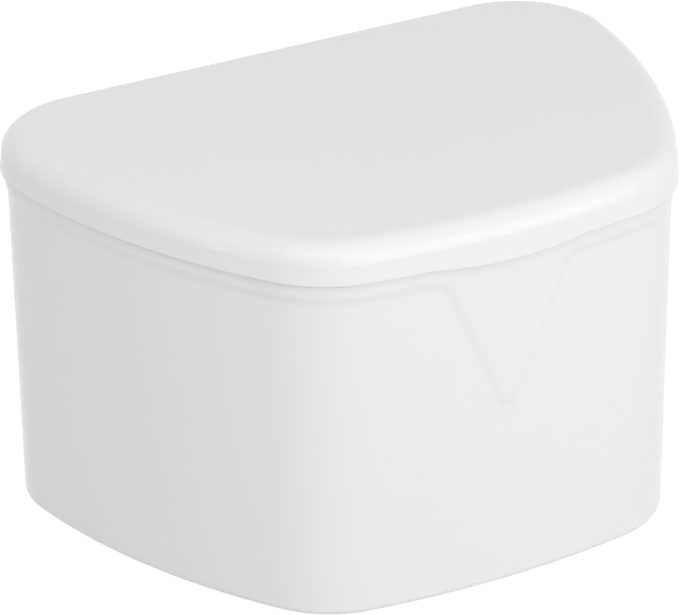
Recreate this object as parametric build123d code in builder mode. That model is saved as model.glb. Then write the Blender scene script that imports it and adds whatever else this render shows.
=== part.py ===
from build123d import *
import math
import os

# A D-shaped denture case in three mouldings: a deep tub, a lift-off lid and a strainer basket.
# Millimetres, +Z up, front towards -Y, origin at the middle of the footprint on the resting plane.

# ---- Overall size, over the closed lid ----
case_width = 95.0
case_depth = 67.5
case_height = 55.3

# ---- Plan outline of the lid: straight back, bowed sides, broad bowed front ----
back_corner_radius = 14.5
side_lean = 6.8  # degrees the sides lean in where they leave the back corners
side_radius = 97.0
front_corner_radius = 16.5
front_radius = 130.0

# ---- Lid ----
lid_height = 5.55  # top face down to the edge of the skirt
lid_top_wall = 1.8
lid_skirt_wall = 1.5  # at the rim; the inside face is upright
lid_skirt_draft = 5.4  # degrees the skirt widens downwards
lid_edge_radius = 3.1
lid_inner_radius = 1.0
lid_rim_radius = 0.2
lip_width = 24.0  # the thumb lip dips below the seam across this width
lip_depth = 0.8
lip_blend_radius = 10.0
plug_wall = 1.2  # ring under the lid that centres it inside the neck
plug_depth = 2.0
plug_clearance = 0.25
plug_chamfer = 0.4

# ---- Tub ----
wall_setback = 0.95  # outer wall behind the lid's skirt, at the lower edge of the rim band
wall_thickness = 2.2
wall_draft = 0.6  # degrees
floor_thickness = 1.8
floor_inner_radius = 3.0
bottom_edge_radius = 1.0
foot_ring_width = 3.2
foot_ring_height = 0.8
band_height = 2.67
band_proud = 0.28
band_edge_radius = 2.4  # the band and the V round off towards the wall
band_root_radius = 2.0  # and run out into it
shoulder_radius = 0.3
seam_gap = 0.1  # lid skirt above the tub's shoulder
seat_gap = 0.2  # underside of the lid above the top of the neck
neck_edge_radius = 0.5
bead_proud = 0.3
bead_height = 1.2
bead_rise = 1.9  # middle of the grip bead above the shoulder
bead_clearance = 0.05

# ---- Raised V below the rim band ----
vee_width = 19.1
vee_drop = 21.9  # to the corner that its sides would meet in
vee_tip_radius = 1.3
vee_root_radius = 1.8

# ---- Strainer basket ----
basket_height = 39.0  # underside of its floor to the top of its rim
basket_wall = 1.2
basket_floor = 1.4
basket_floor_radius = 3.6
basket_clearance = 0.6  # rim to the tub's inner wall
basket_seat_gap = 0.2
basket_foot_height = 3.0
basket_foot_radius = 2.2
basket_foot_draft = 6.0  # degrees
basket_rim_proud = 1.0
basket_rim_height = 1.6
basket_rim_radius = 0.45
tab_width = 16.0
tab_rise = 5.0
tab_corner_radius = 3.5
side_shift = 4.0  # middle of the finger tabs and side slots behind the middle of the case
tab_ledge_proud = 0.8
tab_ledge_height = 1.4
drain_radius = 2.0
drain_pitch = 9.0
drain_margin = 4.0
slot_width = 2.6
slot_height = 22.0
slot_pitch = 8.0
slot_rise = 8.5  # lower end of the slots above the underside of the basket's floor
front_slot_count = 7
side_slot_count = 3

# ---- Heights and insets that follow ----
seam_z = case_height - lid_height
shoulder_z = seam_z - seam_gap
band_z = shoulder_z - band_height
ceiling_z = case_height - lid_top_wall
neck_z = ceiling_z - seat_gap
floor_z = foot_ring_height + floor_thickness
basket_z = floor_z + basket_seat_gap + basket_foot_height
basket_floor_z = basket_z + basket_floor
basket_top_z = basket_z + basket_height
neck_inset = lid_skirt_wall + bead_clearance + bead_proud
draft_slope = math.tan(math.radians(wall_draft))
skirt_slope = math.tan(math.radians(lid_skirt_draft))
band_edge_reach = math.sqrt(band_edge_radius**2 - (band_edge_radius - band_proud) ** 2)
band_overlap = band_edge_radius - band_edge_reach  # drawn past the visible edge, and hidden in the wall
slack = 0.01  # for comparing heights
surplus = 1.0  # extra skirt that the seam then cuts away

# ---- Arc centres on the +X side. An inset outline keeps them and shortens every radius. ----
lean = math.radians(side_lean)
corner_x = case_width / 2 - back_corner_radius
corner_y = case_depth / 2 - back_corner_radius
side_x = corner_x - (side_radius - back_corner_radius) * math.cos(lean)
side_y = corner_y + (side_radius - back_corner_radius) * math.sin(lean)
front_y = front_radius - case_depth / 2

# The front corner's arc touches the side arc and the front arc, so its centre closes a triangle.
side_reach = side_radius - front_corner_radius
front_reach = front_radius - front_corner_radius
centre_gap = math.hypot(side_x, front_y - side_y)
side_cosine = (side_reach**2 + centre_gap**2 - front_reach**2) / (2 * side_reach * centre_gap)
side_end = math.atan2(front_y - side_y, -side_x) - math.acos(side_cosine)
front_corner_x = side_x + side_reach * math.cos(side_end)
front_corner_y = side_y + side_reach * math.sin(side_end)
front_start = math.atan2(front_corner_y - front_y, front_corner_x)


def outline(inset):
    """Plan outline of the case as a face, moved in by inset from the lid's skirt."""
    back_y = case_depth / 2 - inset
    side_turn = math.degrees(side_end) + side_lean
    corner_turn = math.degrees(front_start - side_end)
    front_turn = -180 - 2 * math.degrees(front_start)
    with BuildSketch() as plan:
        with BuildLine():
            CenterArc((corner_x, corner_y), back_corner_radius - inset, 90, -90 - side_lean)
            CenterArc((side_x, side_y), side_radius - inset, -side_lean, side_turn)
            front_corner = (front_corner_x, front_corner_y)
            CenterArc(front_corner, front_corner_radius - inset, math.degrees(side_end), corner_turn)
            mirror(about=Plane.YZ)
            Line((-corner_x, back_y), (corner_x, back_y))
            CenterArc((0, front_y), front_radius - inset, math.degrees(front_start), front_turn)
        make_face()
    return plan.sketch


def wall_inset(height):
    """Inset of the tub's outer wall at a height. The wall draws in downwards."""
    return wall_setback + (band_z - height) * draft_slope


def cavity_inset(height):
    """Inset of the tub's inner wall at a height."""
    return wall_inset(height) + wall_thickness


def basket_inset(height):
    """Inset of the basket's outer wall at a height. Its draft follows the tub's."""
    return cavity_inset(height) + basket_clearance + basket_rim_proud


def skirt_inset(height):
    """Inset of the lid's outer face at a height. The skirt widens downwards."""
    return (height - seam_z) * skirt_slope


def above_seam(drop):
    """Solid that fills the space above the seam, lowered by drop, with the dip of the thumb lip."""
    seam = seam_z - drop
    half_lip = lip_width / 2
    with BuildPart() as space:
        with BuildSketch(Plane.XZ) as dipped:
            with BuildLine():
                ThreePointArc((-half_lip, seam), (0, seam - lip_depth), (half_lip, seam))
                Polyline(
                    (half_lip, seam),
                    (case_width, seam),
                    (case_width, 2 * case_height),
                    (-case_width, 2 * case_height),
                    (-case_width, seam),
                    (-half_lip, seam),
                )
            make_face()
            fillet(dipped.vertices().filter_by(lambda v: abs(v.X) < case_width / 2), lip_blend_radius)
        extrude(amount=case_depth)
        with BuildSketch(Plane.XZ):
            with Locations((0, seam)):
                Rectangle(2 * case_width, 2 * case_height - seam, align=(Align.CENTER, Align.MIN))
        extrude(amount=-case_depth)
    return space.part


def edges_round(part, low, high):
    """Edges between two heights that run round the outside, without those that end on the plane y = 0."""
    boxes = [(edge, edge.bounding_box()) for edge in part.edges()]
    return [edge for edge, box in boxes if low < box.min.Z and box.max.Z < high and abs(box.max.Y) > slack]


# ---- Tub ----
# The rim band and the V below it are one raised skin. It is drawn larger than it shows, because its
# rounded edge runs on into the wall.
with BuildPart() as skin_region:
    with BuildSketch(Plane.XZ) as front_view:
        with BuildLine():
            Polyline(
                (case_width, case_height),
                (case_width, band_z),
                (vee_width / 2, band_z),
                (0, band_z - vee_drop),
                (-vee_width / 2, band_z),
                (-case_width, band_z),
                (-case_width, case_height),
                close=True,
            )
        make_face()
        fillet(front_view.vertices().group_by(Axis.Y)[0], vee_tip_radius)
        roots = front_view.vertices().filter_by(lambda v: abs(abs(v.X) - vee_width / 2) < slack)
        fillet(roots, vee_root_radius)
        offset(amount=band_overlap, kind=Kind.INTERSECTION)
    extrude(amount=case_depth)
    with BuildSketch(Plane.XZ):
        with Locations((0, band_z - band_overlap)):
            Rectangle(2 * case_width, case_height - band_z, align=(Align.CENTER, Align.MIN))
    extrude(amount=-case_depth)

with BuildPart() as raised_skin:
    with BuildSketch():
        add(outline(wall_inset(0) - band_proud))
    extrude(amount=case_height, taper=-wall_draft)
    add(skin_region.part, mode=Mode.INTERSECT)
    fillet(edges_round(raised_skin, 0, band_z - band_overlap + slack), band_edge_radius)

with BuildPart() as tub:
    with BuildSketch():
        add(outline(wall_inset(0)))
    extrude(amount=case_height, taper=-wall_draft)
    fillet(tub.faces().sort_by(Axis.Z)[0].edges(), bottom_edge_radius)
    add(raised_skin.part)
    root_edges = tub.edges(Select.NEW).filter_by(lambda e: e.bounding_box().max.Z < band_z + slack)
    fillet(root_edges, band_root_radius)
    add(above_seam(seam_gap), mode=Mode.SUBTRACT)
    fillet(edges_round(tub, shoulder_z - lip_depth - slack, shoulder_z + slack), shoulder_radius)

    # Neck, with a bead that grips the lid's skirt
    with BuildSketch(Plane.XY.offset(band_z)):
        add(outline(neck_inset))
    extrude(amount=neck_z - band_z)
    fillet(tub.faces().sort_by(Axis.Z)[-1].edges(), neck_edge_radius)
    bead_slope = math.degrees(math.atan2(bead_proud, bead_height / 2))
    with BuildSketch(Plane.XY.offset(shoulder_z + bead_rise)):
        add(outline(neck_inset - bead_proud))
    extrude(amount=bead_height / 2, both=True, taper=bead_slope)

    # Shallow recess under the floor, which leaves a ring to stand on
    with BuildSketch():
        add(outline(wall_inset(0) + foot_ring_width))
    extrude(amount=foot_ring_height, mode=Mode.SUBTRACT)

with BuildPart() as cavity:
    with BuildSketch(Plane.XY.offset(floor_z)):
        add(outline(cavity_inset(floor_z)))
    extrude(amount=neck_z - floor_z, taper=-wall_draft)
    fillet(cavity.faces().sort_by(Axis.Z)[0].edges(), floor_inner_radius)

with tub:
    add(cavity.part, mode=Mode.SUBTRACT)

# ---- Lid ----
plug_inset = cavity_inset(neck_z) + plug_clearance
lowest_lip = seam_z - lip_depth

with BuildPart() as lid_hollow:
    with BuildSketch(Plane.XY.offset(lowest_lip - surplus)):
        add(outline(lid_skirt_wall))
    extrude(amount=ceiling_z - lowest_lip + surplus)
    fillet(lid_hollow.faces().sort_by(Axis.Z)[-1].edges(), lid_inner_radius)

with BuildPart() as plug_ring:
    with BuildSketch(Plane.XY.offset(ceiling_z - plug_depth)):
        add(outline(plug_inset))
        add(outline(plug_inset + plug_wall), mode=Mode.SUBTRACT)
    extrude(amount=plug_depth)
    chamfer(plug_ring.faces().sort_by(Axis.Z)[0].edges(), plug_chamfer)

with BuildPart() as lid:
    with BuildSketch(Plane.XY.offset(case_height)):
        add(outline(skirt_inset(case_height)))
    extrude(amount=lowest_lip - surplus - case_height, taper=-lid_skirt_draft)
    fillet(lid.faces().sort_by(Axis.Z)[-1].edges(), lid_edge_radius)
    add(above_seam(0), mode=Mode.INTERSECT)
    fillet(edges_round(lid, 0, seam_z + slack), lid_rim_radius)
    add(lid_hollow.part, mode=Mode.SUBTRACT)
    add(plug_ring.part)

# ---- Strainer basket ----
with BuildPart() as basket_hollow:
    with BuildSketch(Plane.XY.offset(basket_floor_z)):
        add(outline(basket_inset(basket_floor_z) + basket_wall))
    extrude(amount=case_height - basket_floor_z, taper=-wall_draft)
    hollow_radius = basket_floor_radius - basket_wall
    fillet(basket_hollow.faces().sort_by(Axis.Z)[0].edges(), hollow_radius)

with BuildPart() as basket_rim:
    with BuildSketch(Plane.XY.offset(basket_top_z - basket_rim_height)):
        add(outline(basket_inset(basket_top_z) - basket_rim_proud))
    extrude(amount=basket_rim_height)
    fillet(basket_rim.faces().filter_by(Axis.Z).edges(), basket_rim_radius)

# The tabs carry on the side walls upwards and end in a ledge for the fingertips.
with BuildPart() as finger_tabs:
    with BuildSketch(Plane.XY.offset(basket_top_z)):
        add(outline(basket_inset(basket_top_z)))
    extrude(amount=tab_rise)
    with BuildSketch(Plane.XY.offset(basket_top_z + tab_rise - tab_ledge_height)):
        add(outline(basket_inset(basket_top_z) - tab_ledge_proud))
    extrude(amount=tab_ledge_height)
    with BuildSketch(Plane.YZ) as tab_view:
        with Locations((side_shift, basket_top_z)):
            Rectangle(tab_width, 2 * tab_rise)
        fillet(tab_view.vertices(), tab_corner_radius)
    extrude(amount=case_width, both=True, mode=Mode.INTERSECT)

with BuildPart() as basket:
    with BuildSketch(Plane.XY.offset(basket_z)):
        add(outline(basket_inset(basket_z)))
    extrude(amount=basket_height, taper=-wall_draft)
    fillet(basket.faces().sort_by(Axis.Z)[0].edges(), basket_floor_radius)
    add(basket_rim.part)
    add(finger_tabs.part)
    add(basket_hollow.part, mode=Mode.SUBTRACT)

    # Slots through the front and back walls, then through the side walls
    slot_z = basket_z + slot_rise + slot_height / 2
    with BuildSketch(Plane.XZ):
        with Locations((0, slot_z)):
            with GridLocations(slot_pitch, 0, front_slot_count, 1):
                SlotOverall(slot_height, slot_width, rotation=90)
    extrude(amount=case_depth, both=True, mode=Mode.SUBTRACT)
    with BuildSketch(Plane.YZ):
        with Locations((side_shift, slot_z)):
            with GridLocations(slot_pitch, 0, side_slot_count, 1):
                SlotOverall(slot_height, slot_width, rotation=90)
    extrude(amount=case_width, both=True, mode=Mode.SUBTRACT)

    # Feet stand under the centres of the four corners.
    feet = [(corner_x, corner_y), (-corner_x, corner_y)]
    feet += [(front_corner_x, front_corner_y), (-front_corner_x, front_corner_y)]
    with BuildSketch(Plane.XY.offset(basket_z)):
        with Locations(*feet):
            Circle(basket_foot_radius)
    extrude(amount=-basket_foot_height, taper=basket_foot_draft)

    # Drain holes fill the flat of the floor and leave the feet whole.
    drain_field = outline(basket_inset(basket_floor_z) + basket_wall + drain_margin).face()
    columns = 2 * int(case_width / drain_pitch / 2) + 1
    rows = 2 * int(case_depth / drain_pitch / 2) + 1
    foot_space = basket_foot_radius + drain_radius + basket_wall
    drains = []
    for location in HexLocations(drain_pitch / 2, columns, rows):
        centre = location.position
        clear_of_feet = all(math.dist((centre.X, centre.Y), foot) > foot_space for foot in feet)
        if clear_of_feet and drain_field.is_inside(centre):
            drains.append((centre.X, centre.Y))
    with BuildSketch(Plane.XY.offset(basket_z)):
        with Locations(*drains):
            Circle(drain_radius)
    extrude(amount=basket_floor, mode=Mode.SUBTRACT)

# ---- Files ----
tub.part.label = "tub"
lid.part.label = "lid"
basket.part.label = "strainer_basket"

os.makedirs("parts", exist_ok=True)
export_step(tub.part, "parts/tub.step")
export_step(lid.part, "parts/lid.step")
export_step(basket.part, "parts/strainer_basket.step")
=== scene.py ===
"""Denture case in white moulded plastic: a tub, a lift-off lid and a strainer basket, in metres."""

import math

import bpy
from mathutils import Matrix, Vector


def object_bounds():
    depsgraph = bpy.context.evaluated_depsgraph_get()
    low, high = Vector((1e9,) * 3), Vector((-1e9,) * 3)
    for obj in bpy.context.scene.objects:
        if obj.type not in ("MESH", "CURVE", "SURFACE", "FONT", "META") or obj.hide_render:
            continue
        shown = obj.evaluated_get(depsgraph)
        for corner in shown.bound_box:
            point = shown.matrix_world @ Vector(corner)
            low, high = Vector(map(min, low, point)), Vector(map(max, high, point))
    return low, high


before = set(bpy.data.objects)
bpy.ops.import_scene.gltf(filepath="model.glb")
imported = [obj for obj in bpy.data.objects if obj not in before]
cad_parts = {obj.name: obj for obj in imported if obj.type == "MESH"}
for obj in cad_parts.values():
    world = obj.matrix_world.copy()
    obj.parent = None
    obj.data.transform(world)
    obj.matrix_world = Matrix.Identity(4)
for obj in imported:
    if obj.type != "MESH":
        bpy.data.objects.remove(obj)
cad_low, cad_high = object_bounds()

MM = 0.001

# ---- Driving values ----
# Camera: where it stands round the case, and where the case's middle lands in the picture
CAMERA_AZIMUTH = -29.86  # degrees, negative to the left of the front
CAMERA_ELEVATION = 26.12
CAMERA_ROLL = -0.367
CAMERA_DISTANCE = 0.6028
CAMERA_LENS = 229.37  # mm
CAMERA_NEAR_LIMIT = 0.01
SENSOR_WIDTH = 36.0  # mm
PICTURE_SIZE = (680, 615)  # pixels
MIDDLE_PIXEL = (385.6, 307.8)

# Light and ground
BACKGROUND_WHITE = (1.0, 1.0, 1.0, 1.0)
FLOOR_GREY = 0.7  # what the floor throws back on the case
FLOOR_SIZE = 6.0
FLOOR_VEIL = 0.85  # how far the floor is lifted to the background's white in the camera's eyes
VEIL_STRENGTH = 1.07  # makes up for the light that the open floor lacks
WORLD_STRENGTH = 0.64  # how strongly the white surroundings light the case
SEEING_RAYS = ("Camera", "Glossy", "Transmission")

# Plastic
WHITE_CASE = (0.86, 0.86, 0.86)
WHITE_BASKET = (0.86, 0.86, 0.855)
CLOUD_GRAIN = 38 * MM
CLOUD_CONTRAST = 0.008  # share by which the white drifts up and down
POLISHED_ROUGHNESS = 0.15
FLOW_GRAIN = 9 * MM
FLOW_STRETCH = (1.0, 1.0, 0.12)  # the flow marks run up the walls
FLOW_ROUGHNESS = 0.04
SMUDGE_GRAIN = 16 * MM
SMUDGE_OFFSET = (0.3, 0.1, 0.2)
SMUDGE_ROUGHNESS = 0.05
PEEL_GRAIN = 2.2 * MM
PEEL_DEPTH = 0.006 * MM
REFRACTION = 1.49
GLOW_SHARE = 0.3  # how much of the light spreads inside the plastic
GLOW_REACH = 0.8 * MM
EVENLY = (1.0, 1.0, 1.0)


# ---- Shader maths ----
class Value:
    """A node socket, so that shader maths is written as expressions."""

    def __init__(self, shading, socket):
        self.shading = shading
        self.socket = socket

    def _math(self, operation, *terms):
        return self.shading.node("ShaderNodeMath", {"operation": operation}, dict(enumerate(terms)))

    def __add__(self, other):
        return self._math("ADD", self, other)

    def __radd__(self, other):
        return self._math("ADD", other, self)

    def __mul__(self, other):
        return self._math("MULTIPLY", self, other)

    def __rmul__(self, other):
        return self._math("MULTIPLY", other, self)

    def highest(self, other):
        return self._math("MAXIMUM", self, other)


class Shading:
    """The nodes of a material or of the world."""

    def __init__(self, owner, output="ShaderNodeOutputMaterial"):
        owner.use_nodes = True
        self.owner = owner
        self.tree = owner.node_tree
        self.tree.nodes.clear()
        self.output = self.tree.nodes.new(output)

    def node(self, kind, settings=None, inputs=None, output=0):
        """Adds a node, sets it up, fills its sockets with numbers or links, and gives one output."""
        made = self.tree.nodes.new(kind)
        for key, value in (settings or {}).items():
            setattr(made, key, value)
        for key, value in (inputs or {}).items():
            if isinstance(value, Value):
                self.tree.links.new(value.socket, made.inputs[key])
            else:
                made.inputs[key].default_value = value
        return Value(self, made.outputs[output])

    def place(self):
        """The point that is shaded, in the piece's own coordinates."""
        return self.node("ShaderNodeTexCoord", output="Object")

    def noise(self, grain, detail=2.0, stretch=EVENLY, offset=(0.0, 0.0, 0.0)):
        """Noise from 0 to 1 whose features are about grain metres across."""
        mapping = {"Vector": self.place(), "Location": offset, "Scale": stretch}
        mapped = self.node("ShaderNodeMapping", None, mapping)
        inputs = {"Vector": mapped, "Scale": 1 / grain, "Detail": detail, "Roughness": 0.5}
        return self.node("ShaderNodeTexNoise", None, inputs)

    def blend(self, amount, first, second):
        """Colour between two colours."""
        inputs = {0: amount, 6: (*first, 1.0), 7: (*second, 1.0)}
        return self.node("ShaderNodeMix", {"data_type": "RGBA"}, inputs, output=2)

    def seen_directly(self):
        """1 for what the camera sees, or sees mirrored or through glass, and 0 for what only lights."""
        rays = [self.node("ShaderNodeLightPath", output=f"Is {kind} Ray") for kind in SEEING_RAYS]
        return rays[0].highest(rays[1]).highest(rays[2])

    def close(self, shader):
        """Makes the shader the surface, and gives the finished material or world."""
        self.tree.links.new(shader.socket, self.output.inputs["Surface"])
        return self.owner


def scaled(colour, factor):
    """Colour made lighter or darker, up to full white."""
    return tuple(min(1.0, channel * factor) for channel in colour)


def moulded_plastic(name, white):
    """White moulded plastic: faint flow marks and smudges, and a surface that ripples a little."""
    shading = Shading(bpy.data.materials.new(name))
    cloud = shading.noise(CLOUD_GRAIN, detail=1.0)
    dark, light = scaled(white, 1 - CLOUD_CONTRAST), scaled(white, 1 + CLOUD_CONTRAST)
    colour = shading.blend(cloud, dark, light)
    flow = shading.noise(FLOW_GRAIN, stretch=FLOW_STRETCH)
    smudge = shading.noise(SMUDGE_GRAIN, detail=3.0, offset=SMUDGE_OFFSET)
    roughness = POLISHED_ROUGHNESS + FLOW_ROUGHNESS * flow + SMUDGE_ROUGHNESS * smudge
    peel = shading.noise(PEEL_GRAIN, detail=1.0)
    ripple = {"Strength": 1.0, "Distance": PEEL_DEPTH, "Height": peel}
    bump = shading.node("ShaderNodeBump", None, ripple)
    shader = shading.node(
        "ShaderNodeBsdfPrincipled",
        {"subsurface_method": "RANDOM_WALK"},
        {
            "Base Color": colour,
            "Roughness": roughness,
            "IOR": REFRACTION,
            "Normal": bump,
            "Subsurface Weight": GLOW_SHARE,
            "Subsurface Radius": EVENLY,
            "Subsurface Scale": GLOW_REACH,
        },
    )
    return shading.close(shader)


def dress(node, material):
    """Gives a CAD node its finish through its material slots."""
    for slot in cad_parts[node].material_slots:
        slot.material = material


dress("tub", moulded_plastic("tub_plastic", WHITE_CASE))
dress("lid", moulded_plastic("lid_plastic", WHITE_CASE))
dress("strainer_basket", moulded_plastic("basket_plastic", WHITE_BASKET))


# ---- Floor and light ----
def bearing(azimuth, elevation):
    """Unit vector from the case, in degrees round from its front and up from its floor."""
    turn, lift = math.radians(azimuth), math.radians(elevation)
    return Vector((math.sin(turn) * math.cos(lift), -math.cos(turn) * math.cos(lift), math.sin(lift)))


def lay_floor():
    """Pale floor that takes the case's shadow and meets the white background without an edge."""
    bpy.ops.object.select_all(action="DESELECT")
    bpy.ops.mesh.primitive_plane_add(size=FLOOR_SIZE, location=(0, 0, 0))
    floor = bpy.context.object
    floor.name = "floor"
    shading = Shading(bpy.data.materials.new("floor_white"))
    seen = shading.seen_directly()
    colour = FLOOR_GREY + seen * (1.0 - FLOOR_GREY)
    matte = shading.node("ShaderNodeBsdfDiffuse", None, {"Color": colour})
    glow = {"Color": BACKGROUND_WHITE, "Strength": VEIL_STRENGTH}
    veil = shading.node("ShaderNodeEmission", None, glow)
    shader = shading.node("ShaderNodeMixShader", None, {0: seen * FLOOR_VEIL, 1: matte, 2: veil})
    floor.data.materials.append(shading.close(shader))


def light_world():
    """Even white surroundings, seen as plain white by the camera and by what mirrors or shows it."""
    world = bpy.data.worlds.new("white_room")
    bpy.context.scene.world = world
    shading = Shading(world, "ShaderNodeOutputWorld")
    seen = shading.seen_directly()
    strength = WORLD_STRENGTH + seen * (1.0 - WORLD_STRENGTH)
    glow = {"Color": BACKGROUND_WHITE, "Strength": strength}
    shading.close(shading.node("ShaderNodeBackground", None, glow))


def softbox(name, azimuth, elevation, distance, width, height, strength):
    """Area lamp that faces the case. Strength sets how bright its face is, whatever its size."""
    back = bearing(azimuth, elevation)
    data = bpy.data.lights.new(name, "AREA")
    data.shape = "RECTANGLE"
    data.size = width
    data.size_y = height
    data.energy = strength * math.pi * width * height
    lamp = bpy.data.objects.new(name, data)
    bpy.context.scene.collection.objects.link(lamp)
    lamp.location = back * distance
    lamp.visible_camera = False
    lamp.rotation_mode = "QUATERNION"
    lamp.rotation_quaternion = back.to_track_quat("Z", "Y")


lay_floor()
light_world()
softbox("key_softbox", azimuth=15, elevation=18, distance=0.5, width=0.55, height=0.35, strength=1.36)
softbox("left_softbox", azimuth=-90, elevation=24, distance=1.6, width=0.68, height=1.42, strength=0.51)
softbox("high_softbox", azimuth=-30, elevation=55, distance=0.5, width=0.5, height=0.3, strength=0.86)


# ---- Camera ----
def place_camera():
    """Camera at the photograph's viewing angle, turned so that the case's middle meets its pixel."""
    back = bearing(CAMERA_AZIMUTH, CAMERA_ELEVATION)
    data = bpy.data.cameras.new("camera")
    data.sensor_width = SENSOR_WIDTH
    data.lens = CAMERA_LENS
    data.clip_start = CAMERA_NEAR_LIMIT
    camera = bpy.data.objects.new("camera", data)
    bpy.context.scene.collection.objects.link(camera)
    camera.location = Vector((0, 0, cad_high.z / 2)) + back * CAMERA_DISTANCE
    level = back.to_track_quat("Z", "Y").to_matrix()
    rolled = level @ Matrix.Rotation(math.radians(CAMERA_ROLL), 3, "Z")
    focal = CAMERA_LENS / SENSOR_WIDTH * PICTURE_SIZE[0]
    aside = MIDDLE_PIXEL[0] - PICTURE_SIZE[0] / 2
    below = MIDDLE_PIXEL[1] - PICTURE_SIZE[1] / 2
    seen = Vector((aside, -below, -focal)).normalized()
    turn = seen.rotation_difference(Vector((0, 0, -1))).to_matrix()
    camera.rotation_mode = "QUATERNION"
    camera.rotation_quaternion = (rolled @ turn).to_quaternion()
    bpy.context.scene.camera = camera


place_camera()
bpy.context.scene.view_settings.view_transform = "Standard"
